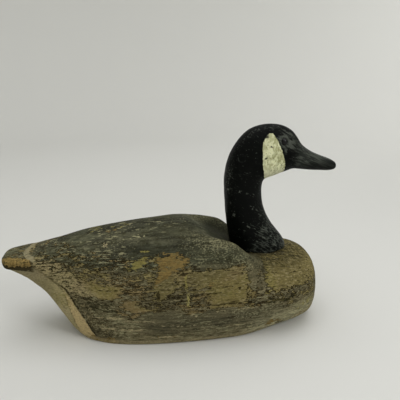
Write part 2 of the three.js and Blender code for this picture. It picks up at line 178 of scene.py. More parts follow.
# Single marks, each in one paint: its middle, reach, turn in the side view, paint and cover.
MARKS = (
    Mark((-64, -72, 138), (14, 30, 6.5), 22, "yellow_green", 0.56),
    Mark((-76, -72, 131), (9, 30, 3), 0, "yellow_green", 0.48),
    Mark((-54, -62, 153), (8, 16, 2), 0, "yellow_green", 0.52),
    Mark((-128, 6, 168), (14, 16, 8), 0, "yellow_green", 0.42),
    Mark((-88, -4, 176), (20, 12, 5), 0, "yellow_green", 0.36),
    Mark((-104, -14, 172), (12, 6, 4), 0, "bare_wood", 0.42),
    Mark((-114, -43, 160), (4, 8, 2.6), 0, "lower_edge", 0.5),
    Mark((-62, -41, 169), (12, 8, 1.6), 0, "pale_fleck", 0.44),
    Mark((-166, -36, 151), (14, 8, 1.8), 8, "pale_fleck", 0.44),
    Mark((158, -97, 70), (32, 40, 6), 4, "stain", 0.5),
    Mark((-124, -76, 70), (30, 40, 11), 0, "stain", 0.5),
    Mark((5, -98, 110), (2, 20, 14), 0, "yellow_green", 0.6),
    Mark((7, -102, 84), (2.4, 20, 12), 0, "straw", 0.62),
    Mark((16, -104, 57), (6, 20, 5), 0, "lower_edge", 0.44),
    Mark((-118, -80, 51), (28, 30, 1.8), 1, "lower_edge", 0.56),
    Mark((-66, -90, 47), (30, 30, 1.6), 1, "lower_edge", 0.5),
    Mark((-98, -82, 31), (36, 30, 2.4), 0, "lower_edge", 0.6),
    Mark((-20, -98, 38), (18, 30, 1.4), 0, "lower_edge", 0.42),
    Mark((-108, -80, 100), (34, 30, 2), 2, "dark_brown", 0.5),
    Mark((-82, -86, 107), (30, 30, 2.2), 0, "dark_brown", 0.56),
    Mark((-70, -90, 96), (24, 30, 2), 0, "dark_brown", 0.5),
    Mark((-16, -98, 88), (22, 30, 2.4), 6, "dark_brown", 0.5),
    Mark((-120, -72, 82), (40, 30, 2), 0, "dark_brown", 0.46),
    Mark((12, -94, 37), (30, 30, 1.4), 0, "lower_edge", 0.4),
    Mark((-24, -98, 16), (34, 30, 2), 0, "lower_edge", 0.52),
    Mark((60, -102, 30), (40, 30, 1.6), 2, "lower_edge", 0.46),
    Mark((80, -104, 62), (40, 30, 1.5), 0, "lower_edge", 0.5),
    Mark((-14, -98, 17), (30, 30, 4), 0, "bare_wood", 0.34),
    Mark((206, -80, 52), (26, 40, 8), 10, "yellow_green", 0.42),
    Mark((108, -96, 24), (34, 40, 8), -4, "lower_edge", 0.34),
    Mark((210, -80, 26), (26, 60, 14), 12, "tan", 0.5),
    Mark((74, -106, 73), (30, 20, 1.3), 0, "dark_brown", 0.64),
    Mark((38, -104, 92), (22, 20, 1.5), 2, "dark_brown", 0.6),
    Mark((10, -103, 100), (14, 20, 1.2), 0, "dark_brown", 0.55),
    Mark((60, -102, 101), (26, 20, 1.3), 0, "dark_brown", 0.48),
    Mark((6, -91, 124), (15, 20, 1.7), 8, "dark_brown", 0.64),
    Mark((22, -92, 130), (10, 20, 4.5), -25, "dark_brown", 0.52),
    Mark((88, -103, 97), (3.2, 14, 2.6), 0, "dark_brown", 0.66),
    Mark((-38, -96, 92), (3, 14, 8), 0, "dark_brown", 0.6),
    Mark((102, -104, 90), (3, 14, 12), 6, "dark_brown", 0.52),
    Mark((44, -99, 107), (4, 14, 3.5), 0, "bare_wood", 0.55),
    Mark((164, -88, 18), (9, 20, 2), 12, "dark_brown", 0.7),
    Mark((30, 103, 92), (40, 30, 1.5), 2, "dark_brown", 0.58),
    Mark((-40, 98, 76), (24, 30, 1.5), 0, "dark_brown", 0.55),
    Mark((60, 98, 40), (60, 30, 1.5), 0, "lower_edge", 0.48),
    Mark((-40, 92, 34), (60, 30, 1.5), 0, "lower_edge", 0.48),
)

# The dip behind the neck, painted dark: its own dark paint, and painted shadow from the neck.
HOLLOW = Patch((84, 0, 142), (36, 46, 26))

# On the neck and head: pale specks, a knot's ring, the greyer skin round the eye, and the cheek
# patch with its chips. All but the specks and chips are the same on both sides.
NECK_MARKS = (
    Patch((97, -23, 189), (1.7, 12, 2.2)),
    Patch((105, -27, 230), (1.7, 12, 1.7)),
    Patch((88, -20, 232), (1.2, 12, 1.2)),
    Patch((128, -26, 200), (1.6, 12, 1.2)),
    Patch((148, -30, 148), (3, 12, 1.4), -30),
    Patch((120, -28, 170), (2.6, 12, 1.2), -30),
)
KNOT = (108, 23, 285)
KNOT_RADIUS = 6.5
EYE_SURROUND = (182, 20, 309)
CHEEK_BACK = 141
CHEEK_FRONT = 181.5
CHEEK_TOP = (323.2, 322.6)
CHEEK_CHIPS = (
    Patch((147, -20, 317.5), (4, 14, 2), 15),
    Patch((142, -22, 313), (2, 14, 3)),
    Patch((155, -24, 302), (1.6, 14, 1.2)),
    Patch((147, -27, 284), (2.2, 14, 1.3), 30),
    Patch((150, 22, 316), (4, 14, 3)),
)

# The line from the tail down to the floor behind which the rump is painted pale.
RUMP_SLOPE = 0.519
RUMP_START = 132.4
RUMP_BEND = 92  # above this height the line runs back faster
RUMP_RISE = 0.75
BAND_WIDTH = 4  # of the tan band along the rump's front edge, at that height
BAND_SPREAD = 0.28  # how much wider the band is for each millimetre further down

# The edges of the paint's zones, each from where the zone begins to where it is full.
BREAST_X = (124, 136)
LOW_Z = (70, 58)
HIGH_Z = (143, 158)
FLANK_Z = (140, 118)
BOTTOM_Z = (12, 7)
BROKEN_X = (-30, -60)
BROKEN_Z = (118, 130)
REAR_LINE = (62, 34)  # in front of the rump's line
BILL_X = (194, 214)

# The pale crescent on the tail, seen from above.
CRESCENT_MIDDLE = (-198, -2, 141)
CRESCENT_RADIUS = 43


def screen(red, green, blue):
    """A colour as it looks on a screen, as the light values that a shader takes."""
    def light(part):
        share = part / 255
        return share / 12.92 if share <= 0.04045 else ((share + 0.055) / 1.055) ** 2.4
    return (light(red), light(green), light(blue), 1.0)


def tint(name, description, *colour):
    """A colour that a user can change."""
    return FloatVectorProperty(
        name=name, description=description, subtype="COLOR", size=4, min=0, max=1, default=screen(*colour)
    )


class DecoyBody(bpy.types.PropertyGroup):
    """What can be changed on the body."""

    rounding: IntProperty(
        name="Rounding", description="How finely the solid is rounded", default=2, min=1, max=3
    )
    swell: FloatProperty(
        name="Swell", description="How far the carving strays over a hand's width",
        default=0.8 * MM, subtype="DISTANCE", unit="LENGTH",
    )
    strokes: FloatProperty(
        name="Strokes", description="How deep the strokes of the knife and rasp are",
        default=0.35 * MM, subtype="DISTANCE", unit="LENGTH",
    )
    grey_green: tint("Grey-green", "The top coat on the back", 69, 70, 54)
    slate: tint("Slate", "The smoother, bluer parts of the top coat", 57, 57, 45)
    warm_grey: tint("Warm grey", "The top coat on the flanks", 104, 97, 72)
    bow_grey: tint("Bow grey", "The top coat low on the breast", 149, 144, 113)
    # Dark paint behind the neck; the same colour is the painted shadow of the neck in that dip and the
    # painted shade in the groove before the breast.
    hollow_paint_and_shade: tint("Hollow", "The dark paint behind the neck", 36, 37, 24)
    stain: tint("Stain", "Dark mottles in the top coat", 40, 39, 22)
    olive_tan: tint("Olive tan", "The older coat under the top coat", 110, 101, 65)
    tan: tint("Tan", "The browner parts of the older coat", 116, 102, 69)
    ochre: tint("Ochre", "The breast", 112, 102, 64)
    yellow_green: tint("Yellow-green", "Where the older coat has yellowed", 126, 118, 67)
    straw: tint("Straw", "The pale run of paint down the right flank", 152, 143, 86)
    lower_edge: tint("Lower edge", "Pale streaks and the rubbed edge along the floor", 156, 145, 110)
    cream_grey: tint("Cream grey", "Under the rump", 148, 138, 100)
    band_tan: tint("Band tan", "The band along the front of the rump", 181, 162, 118)
    bare_wood: tint("Bare wood", "Where no paint is left", 114, 96, 56)
    dark_brown: tint("Dark brown", "Flecks of old dark paint and dirt", 34, 28, 12)
    pale_fleck: tint("Pale fleck", "Small pale specks and scratches", 150, 146, 112)
    crescent: tint("Crescent", "The pale curved mark on the tail", 142, 134, 104)


class DecoyNeck(bpy.types.PropertyGroup):
    """What can be changed on the neck and head."""

    detail: FloatProperty(
        name="Detail", description="The size of the finest modelled form",
        default=1.5 * MM, subtype="DISTANCE", unit="LENGTH",
    )
    strokes: FloatProperty(
        name="Strokes", description="How deep the strokes of the knife are",
        default=0.35 * MM, subtype="DISTANCE", unit="LENGTH",
    )
    black: tint("Black", "The neck and head", 4, 6, 4)
    # Grey where the black is worn, round the eye, on the knot's ring and the putty; also the colour of the
    # painted sheen along the crown, the nape, the throat and the neck's foot, and of the streaks on the bill.
    rubbed_and_sheen: tint("Rubbed", "Where the black has gone grey", 82, 86, 78)
    bill: tint("Bill", "The charcoal bill", 34, 37, 33)
    cream: tint("Cream", "The patch on each cheek", 218, 219, 180)
    stain: tint("Stain", "The grey-green mottles on the patch", 142, 142, 96)
    pale_grey: tint("Pale grey", "The lower end of the patch", 186, 184, 160)
    scratch: tint("Scratch", "Scratches and specks in the black", 110, 114, 104)


class DecoyEyes(bpy.types.PropertyGroup):
    """What can be changed on the eyes."""

    sides: IntProperty(name="Sides", description="How finely each eye is rounded", default=48, min=16, max=96)
    iris: tint("Iris", "The dark brown ring round the pupil", 9, 7, 5)
    pupil: tint("Pupil", "The black middle", 4, 4, 4)


class DecoyStage(bpy.types.PropertyGroup):
    """What can be changed on the stage."""

    paper: tint("Paper", "The floor and the wall", 213, 213, 209)
    key_power: FloatProperty(name="Key light", description="The large light above", default=23, unit="POWER")
    lamp_power: FloatProperty(
        name="Lamp", description="The small light on the bill's right side", default=8, unit="POWER"
    )
    wall_power: FloatProperty(name="Wall light", description="The light on the wall", default=9, unit="POWER")
    sky: FloatProperty(name="Sky", description="The even light from all round", default=0.6)


class Flow:
    """A number, a colour or a place that flows through a material, with sums written plainly."""

    def __init__(self, finish, socket):
        self.finish = finish
        self.socket = socket

    def __add__(self, other):
        return self.finish.maths("ADD", self, other)

    def __radd__(self, other):
        return self.finish.maths("ADD", other, self)

    def __sub__(self, other):
        return self.finish.maths("SUBTRACT", self, other)

    def __rsub__(self, other):
        return self.finish.maths("SUBTRACT", other, self)

    def __mul__(self, other):
        return self.finish.maths("MULTIPLY", self, other)

    def __rmul__(self, other):
        return self.finish.maths("MULTIPLY", other, self)

    def __truediv__(self, other):
        return self.finish.maths("DIVIDE", self, other)

    def __pow__(self, other):
        return self.finish.maths("POWER", self, other)

    def __abs__(self):
        return self.finish.maths("ABSOLUTE", self, 0.0)


class Finish:
    """One material. Its methods add the nodes, on places in millimetres on the bird."""

    def __init__(self, name):
        self.material = bpy.data.materials.new(name)
        self.material.use_nodes = True
        self.tree = self.material.node_tree
        self.surface = self.tree.nodes["Principled BSDF"]
        self.slants = {}
        metres = self.node("ShaderNodeTexCoord", out="Object")
        self.place = self.scaled(metres, 1 / MM)
        self.x, self.y, self.z = self.axes(self.place)

    def node(self, kind, settings=None, inputs=None, out=0):
        """Adds a node: its settings first, then the values or links of its sockets."""
        made = self.tree.nodes.new(kind)
        for name, value in (settings or {}).items():
            setattr(made, name, value)
        for name, value in (inputs or {}).items():
            self.feed(made.inputs[name], value)
        return Flow(self, made.outputs[out])

    def feed(self, socket, value):
        """Links a flow to a socket, or sets a plain value there."""
        if isinstance(value, Flow):
            self.tree.links.new(value.socket, socket)
        else:
            socket.default_value = value

    def maths(self, operation, first, second):
        """A sum on two numbers."""
        return self.node("ShaderNodeMath", {"operation": operation}, {0: first, 1: second})

    def vectors(self, operation, first, second=(0, 0, 0)):
        """A sum on two places."""
        out = "Value" if operation == "LENGTH" else "Vector"
        return self.node("ShaderNodeVectorMath", {"operation": operation}, {0: first, 1: second}, out)

    def scaled(self, places, scale):
        """Places times a number."""
        return self.node("ShaderNodeVectorMath", {"operation": "SCALE"}, {0: places, 3: scale}, "Vector")

    def distance(self, places, middle):
        """How far places are from a middle."""
        return self.vectors("LENGTH", self.vectors("SUBTRACT", places, middle))

    def axes(self, place):
        """The three numbers of a place."""
        return [self.node("ShaderNodeSeparateXYZ", inputs={0: place}, out=axis) for axis in range(3)]

    def folded(self):
        """Places on the head, with the right side folded onto the left one."""
        return self.vectors("ABSOLUTE", self.place)

    def most(self, *masks):
        """The strongest of several masks."""
        strongest = masks[0]
        for mask in masks[1:]:
            strongest = self.maths("MAXIMUM", strongest, mask)
        return strongest

    def ramp(self, value, start, end):
        """0 where a value is at start, 1 where it is at end, and a soft step between."""
        limits = {0: value, 1: start, 2: end, 3: 0.0, 4: 1.0}
        return self.node("ShaderNodeMapRange", {"interpolation_type": "SMOOTHSTEP"}, limits)

    def mix(self, mask, under, over):
        """The colour over laid on the colour under where the mask is 1."""
        return self.node("ShaderNodeMix", {"data_type": "RGBA"}, {0: mask, 6: under, 7: over}, out=2)

    def shade(self, colour, amount):
        """A colour made darker or lighter by a number."""
        settings = {"data_type": "RGBA", "blend_type": "MULTIPLY"}
        grey = self.node("ShaderNodeCombineColor", inputs={0: amount, 1: amount, 2: amount})
        return self.node("ShaderNodeMix", settings, {0: 1.0, 6: colour, 7: grey}, out=2)

    def turned(self, degrees):
        """Places turned in the side view, so that a pattern's strokes slant."""
        turn = (0, math.radians(degrees), 0)
        return self.node("ShaderNodeMapping", {"vector_type": "POINT"}, {0: self.place, 2: turn})

    def noise(self, size, detail=2.0, roughness=0.5, shift=0.0, place=None, out=0):
        """Noise about 0.5, whose features have a size along each axis, in millimetres."""
        inputs = {0: place or self.place, 1: (shift, shift, shift), 3: tuple(1 / step for step in size)}
        spread = self.node("ShaderNodeMapping", {"vector_type": "POINT"}, inputs)
        inputs = {"Vector": spread, "Scale": 1.0, "Detail": detail, "Roughness": roughness}
        return self.node("ShaderNodeTexNoise", inputs=inputs, out=out)

    def flecks(self, size, cover, detail=3.0, edge=0.02, **where):
        """Ragged flecks, which cover next to nothing at 0.1, half at 0.5 and all at 0.9."""
        grain = self.noise(size, detail, 0.6, **where)
        return self.ramp(grain + (cover - 0.5) * 0.7, 0.5 - edge, 0.5 + edge)

    def slanted(self, place, slope):
        """Places slid up or down, so that a line that climbs towards the bill by a slope lies level."""
        if not slope:
            return place
        if (place, slope) not in self.slants:
            x, y, z = self.axes(place)
            level = z - x * slope
            self.slants[place, slope] = self.node("ShaderNodeCombineXYZ", inputs={0: x, 1: y, 2: level})
        return self.slants[place, slope]

    def patch(self, patch, edge=0.25, place=None):
        """A soft-edged patch, 1 in its middle, squarer than an ellipse."""
        slope = math.tan(math.radians(patch.turn))
        x, y, z = patch.middle
        away = self.vectors("SUBTRACT", self.slanted(place or self.place, slope), (x, y, z - x * slope))
        inside = self.vectors("DIVIDE", away, patch.reach)
        squares = self.vectors("MULTIPLY", inside, inside)
        far = self.vectors("LENGTH", squares)
        return self.ramp(far, (1 + edge) ** 2, (1 - edge) ** 2)

    def patches(self, patches, edge=0.25, place=None):
        """Several patches as one mask."""
        return self.most(*(self.patch(patch, edge, place) for patch in patches))

    def ragged(self, size, reach):
        """Places strayed by noise, which makes a patch's edge uneven."""
        stray = self.noise(size, 3.0, 0.6, out="Color")
        centred = self.vectors("SUBTRACT", stray, (0.5, 0.5, 0.5))
        return self.vectors("ADD", self.place, self.scaled(centred, 2 * reach))

    def finish(self, colour, roughness, height=None):
        """Joins the colour, the roughness and any relief, in millimetres, to the surface."""
        self.feed(self.surface.inputs["Base Color"], colour)
        self.feed(self.surface.inputs["Roughness"], roughness)
        if height is not None:
            relief = self.node("ShaderNodeBump", inputs={"Strength": 1.0, "Distance": MM, "Height": height})
            self.feed(self.surface.inputs["Normal"], relief)
        return self.material


class BodyPaint(Finish):
    """Grey top coats over a thin dark coat, over an old olive coat, over bare wood."""

    def __init__(self, look):
        super().__init__("worn body paint")
        self.look = look
        self.stray = self.ragged((26, 20, 12), 13)
        self.frayed = self.ragged((6, 5, 4), 3)
        self.broad = self.noise((70, 50, 40), 2.0)
        self.grain = self.noise((20, 2.8, 1.8), 4.0, 0.65, shift=5)
        self.fine = self.noise((4, 2.2, 1.8), 2.0, 0.6, shift=11)
        rubs = self.noise((30, 12, 7), 8.0, 0.75, shift=3)
        dashes = self.noise((16, 4, 2.2), 3.0, 0.65, shift=13)
        self.dots = self.noise((4.5, 4, 3), 2.0, 0.6, shift=17)
        self.uneven = (rubs - 0.5) * 1.5 + (dashes - 0.5) * 1.2 + (self.dots - 0.5) * 0.9

        # The zones of the body, whose edges wander.
        wander = (self.noise((26, 26, 14), 3.0, shift=7) - 0.5) * 26
        self.wander = wander
        self.breast = self.ramp(self.x + wander * 0.3, *BREAST_X)
        self.low = self.ramp(self.z + wander * 1.2, *LOW_Z)
        shoulder = self.ramp(self.x, 0, 25) * 22 - self.ramp(self.x, -130, -190) * 9
        self.high = self.ramp(self.z + wander * 0.6 + shoulder, *HIGH_Z)
        self.broken = self.ramp(self.x, *BROKEN_X) * self.ramp(self.z + wander, *BROKEN_Z) * (1 - self.high)
        above = self.maths("MAXIMUM", self.z - RUMP_BEND, 0.0)
        line = self.x + self.z * RUMP_SLOPE + above * RUMP_RISE + RUMP_START
        self.rump_line = line + wander * 0.15
        soft = self.ramp(self.z, 92, 112) * 8 + 1
        edge = self.rump_line + (self.dots - 0.5) * soft * 4
        self.rump = self.ramp(edge / soft, 1, -1) * self.ramp(self.z, 134, 126)
        self.rear = self.ramp(self.rump_line, *REAR_LINE) * self.ramp(self.rump_line, -2, 4)
        self.rear = self.rear * self.ramp(self.z + wander * 0.4, 146, 138)
        self.hollow = self.patch(HOLLOW, 0.3)
        self.dark = self.patches(DARK_PLACES, 0.7, self.stray)
        self.worn = self.patches(WORN_PLACES, 0.8, self.stray)

    def old_coat(self):
        """The olive coat, with its grain, its yellow places and flecks of what lay on it."""
        look = self.look
        old = self.mix(self.ramp(self.broad, 0.4, 0.6), look.olive_tan, look.tan)
        old = self.mix(self.breast, old, look.ochre)
        old = self.mix(self.patches(YELLOW_PLACES, 0.6, self.stray) * 0.5, old, look.yellow_green)
        old = self.mix(self.rear * 0.5, old, look.lower_edge)
        old = self.shade(old, self.ramp(self.grain, 0.25, 0.7) * 0.46 + 0.75)
        # The old coat is painted darker towards the top of the worn patches, as painted shade, and lighter at
        # the breast's front end, as painted light; it is also lighter towards the tail.
        ends = self.ramp(self.x, -10, -70) * 0.2 + self.ramp(self.x, 200, 226) * 0.12
        old = self.shade(old, 1 - self.worn * self.ramp(self.z, 98, 114) * 0.1 - self.worn * 0.2 + ends)
        pale = self.flecks((7, 4, 2.6), 0.4, 3.0, 0.05, shift=21)
        old = self.mix(pale * 0.35, old, look.lower_edge)
        left_on = self.flecks((12, 4, 2.2), 0.41 - self.worn * 0.1, 3.0, 0.03, shift=19)
        return self.mix(left_on * 0.85, old, look.dark_brown)

    def top_coat(self):
        """The several greys of the top coat, streaked, stained, speckled and scratched, with dark paint and
        painted shadow in the dip behind the neck and painted shade in the groove before the breast.
        """
        look = self.look
        top = self.mix(self.ramp(self.broad, 0.42, 0.58), look.grey_green, look.slate)
        flank = self.ramp(self.z + self.wander, *FLANK_Z)
        top = self.mix(flank, top, look.warm_grey)
        bow = self.ramp(self.x - self.z * 0.6 + self.wander, 70, 130)
        bow = bow * self.ramp(self.z + self.wander, 60, 26)
        top = self.mix(bow, top, look.bow_grey)
        streaks = self.noise((80, 9, 5), 5.0, 0.75, shift=29)
        smooth = self.patches(SMOOTH_PLACES, 0.6, self.stray)
        top = self.mix(smooth * self.ramp(self.z, 110, 130) * 0.7, top, look.slate)
        top = self.shade(top, self.ramp(streaks, 0.35, 0.65) * 0.95 + 0.51)
        stains = self.flecks((16, 8, 5), self.broken * 0.08 + 0.42, 6.0, 0.06, shift=41)
        top = self.mix(stains * 0.55, top, look.stain)
        shoulder = self.patches(SPECKLED_PLACES, 0.5, self.stray)
        top = self.mix(shoulder * self.ramp(self.z, 95, 115) * 0.35, top, look.stain)
        dense = shoulder * 0.15 + (self.broad - 0.5) * 0.4 + 0.28
        specks = self.flecks((3, 2.6, 2.4), dense, 4.0, 0.06, shift=31)
        scratched = self.ramp(self.broad, 0.42, 0.6) * 0.14 - smooth * 0.07
        scratched = scratched + self.low * 0.05 + 0.24 + self.broken * 0.09
        scratches = self.flecks((16, 5, 2.2), scratched, 3.0, 0.04, shift=37)
        top = self.mix(smooth * self.low * 0.45, top, look.slate)
        top = self.mix(self.most(specks * 0.45, scratches * 0.66), top, look.pale_fleck)
        ridge = self.patches(RIDGE_PLACES, 0.9, self.stray) * self.ramp(streaks, 0.3, 0.6)
        top = self.mix(ridge * 0.13, top, look.pale_fleck)
        top = self.mix(self.ramp(self.x, -205, -235) * 0.17, top, look.pale_fleck)
        # The dip behind the neck and the dark places take the dark hollow colour: in the dip it is its own
        # paint together with painted shadow from the neck, in the groove before the breast painted shade, and
        # along the back darker patches.
        return self.mix(self.most(self.hollow * 0.8, self.dark * 0.44), top, look.hollow_paint_and_shade)

    def wear(self):
        """How far the coats are worn, 0 where the top coat is just gone."""
        band = (1 - self.high) * (1 - self.low)
        kept = self.patches(KEPT_PLACES, 0.6, self.stray)
        gone = band * 0.5 + self.low * 0.13 + self.rear * 0.22 + self.worn * 0.4
        held = kept * 0.4 + self.hollow * 0.3 + self.broken * 0.1 + 0.42
        return gone - held + self.uneven

    def rump_paint(self):
        """The pale rump, with the tan band along its front."""
        look = self.look
        pale = self.mix(self.ramp(self.broad, 0.45, 0.6), look.cream_grey, look.lower_edge)
        from_band = self.rump_line + BAND_WIDTH + (RUMP_BEND - self.z) * BAND_SPREAD
        band = self.ramp(from_band, -1, 1)
        pale = self.shade(pale, self.ramp(self.x, -215, -190) * 0.24 + 0.85)
        pale = self.mix(band * self.ramp(self.z, 100, 70), pale, look.band_tan)
        seam = self.ramp(abs(from_band), 2, 0.5)
        pale = self.mix(seam * self.ramp(self.uneven, -0.2, 0.1) * 0.6, pale, look.stain)
        halfway = self.ramp(self.z, 50, 70) * self.ramp(self.z, 96, 80)
        spots = self.flecks((6, 6, 4), halfway * 0.3 + 0.2, 3.0, shift=51)
        pale = self.mix(spots * 0.5, pale, look.yellow_green)
        pale = self.shade(pale, self.ramp(self.grain, 0.3, 0.7) * 0.2 + 0.88)
        return self.mix(self.flecks((9, 7, 5), 0.3, 5.0, 0.04, shift=47) * 0.6, pale, look.olive_tan)

    def brushed(self, zone, degrees, cover, shift):
        """Slanting dark brush strokes in a zone."""
        strokes = self.flecks((11, 4, 2.4), cover, 3.0, 0.05, shift=shift, place=self.turned(degrees))
        return strokes * zone

    def marked(self, colour):
        """The single marks laid on a colour."""
        for number, mark in enumerate(MARKS):
            size = (min(mark.reach[0], 9), 4, min(mark.reach[2], 3))
            cover = self.patch(mark, 0.5, self.frayed) * (mark.cover + 0.3) - 0.3
            grains = self.flecks(size, cover, 2.0, 0.03, shift=60 + number)
            colour = self.mix(grains * 0.85, colour, getattr(self.look, mark.paint))
        return colour


def body_paint(look):
    """All the body's coats, from the top coat down to the bare wood, with its marks."""
    paint = BodyPaint(look)
    x, y, z = paint.x, paint.y, paint.z
    blotted = paint.patches(BLOTTED_PLACES, 0.6, paint.stray)
    wear = paint.wear() - blotted * 0.1
    through_top = paint.ramp(wear, -0.02, 0.02)
    through_dark = paint.ramp(wear - blotted * 0.06 - paint.broken * 0.03, 0.09, 0.13)
    colour = paint.mix(through_top, paint.top_coat(), look.dark_brown)
    colour = paint.mix(through_dark, colour, paint.old_coat())

    breast_top = paint.breast * paint.ramp(z + paint.wander * 0.5, 106, 114) * paint.ramp(z, 130, 118)
    rough_top = paint.brushed(breast_top, -35, 0.52, 43)
    rough_rear = paint.brushed(paint.rear, 50, 0.42, 45)
    colour = paint.mix(paint.most(rough_top * 0.65, rough_rear * 0.5), colour, look.stain)
    colour = paint.marked(colour)

    # The pale rump, and the crack along its front.
    colour = paint.mix(paint.rump, colour, paint.rump_paint())
    from_crack = abs(paint.rump_line - 2) - (paint.fine - 0.5) * 9
    crack = paint.ramp(from_crack, 3, 1) * paint.ramp(paint.uneven, -0.25, 0.05)
    crack = crack * (paint.ramp(z, 128, 122) * 0.5 + paint.ramp(z, 104, 94) * 0.5)
    colour = paint.mix(crack * 0.9, colour, look.dark_brown)

    # Bare wood: the patches and the tail's rim, with painted shadow along the underside of the rim.
    from_rim = ((x + 215) / 66) ** 2 + (abs(y) / 43) ** 2
    near_rim = paint.ramp(y + 24 + (x + 251) * 0.45 + (paint.dots - 0.5) * 24, 3, -3)
    far_rim = paint.ramp(from_rim, 0.86, 1.0) * paint.ramp(y, -5, 5) * 0.9
    at_tail = paint.ramp(x + z * 0.3, -184, -192)
    rim = paint.most(near_rim, far_rim) * at_tail
    under = rim * paint.ramp(z + (paint.fine - 0.5) * 14, 121, 124)
    rim = rim * paint.ramp(z + (paint.dots - 0.5) * 12, 128, 131)
    wood = paint.shade(look.bare_wood, paint.ramp(paint.grain, 0.3, 0.65) * 0.5 + at_tail * 0.6 + 0.7)
    wood = paint.mix(paint.flecks((6, 4, 2.6), 0.42, 3.0, 0.06, shift=49) * 0.6, wood, look.olive_tan)
    scored = paint.flecks((3, 3, 8), 0.46, 3.0, 0.06, shift=55) * paint.ramp(x, -215, -225)
    wood = paint.mix(scored * 0.5, wood, look.dark_brown)
    bare_cover = paint.most(paint.patches(BARE_PLACES, 0.9, paint.stray), rim * 0.85) * 0.8 + paint.uneven
    bare = paint.ramp(bare_cover, 0.42, 0.54)
    bare_edge = paint.ramp(bare_cover, 0.36, 0.42) * 0.4
    # Painted shadow: a dark line under the tail's overhanging rim.
    colour = paint.mix(under * 0.9, colour, look.dark_brown)
    colour = paint.mix(bare_edge, colour, look.dark_brown)
    colour = paint.mix(bare, colour, wood)
    bottom = paint.ramp(z + paint.wander * 0.3, *BOTTOM_Z) * paint.ramp(paint.uneven, -0.25, 0.0)
    colour = paint.mix(bottom * 0.6, colour, look.lower_edge)

    # The pale crescent on the tail.
    from_middle = paint.distance(paint.frayed, CRESCENT_MIDDLE)
    crescent = paint.ramp(abs(from_middle - CRESCENT_RADIUS), 5, 3.4) * paint.ramp(x, -222, -227)
    crescent = crescent * paint.ramp(z, 136, 138) * paint.ramp(paint.uneven, -0.3, -0.1)
    colour = paint.mix(crescent * 0.85, colour, look.crescent)

    colour = paint.shade(colour, paint.ramp(paint.fine, 0.28, 0.72) * 0.46 + 0.77)
    height = (1 - through_top) * 0.2 + (1 - through_dark) * 0.15 + paint.grain * 0.35 + paint.fine * 0.15
    height = height - crack * 0.5 - bare * 0.2
    roughness = through_dark * 0.1 + paint.fine * 0.1 + 0.65
    paint.surface.inputs["Specular IOR Level"].default_value = 0.05
    return paint.finish(colour, roughness, height)


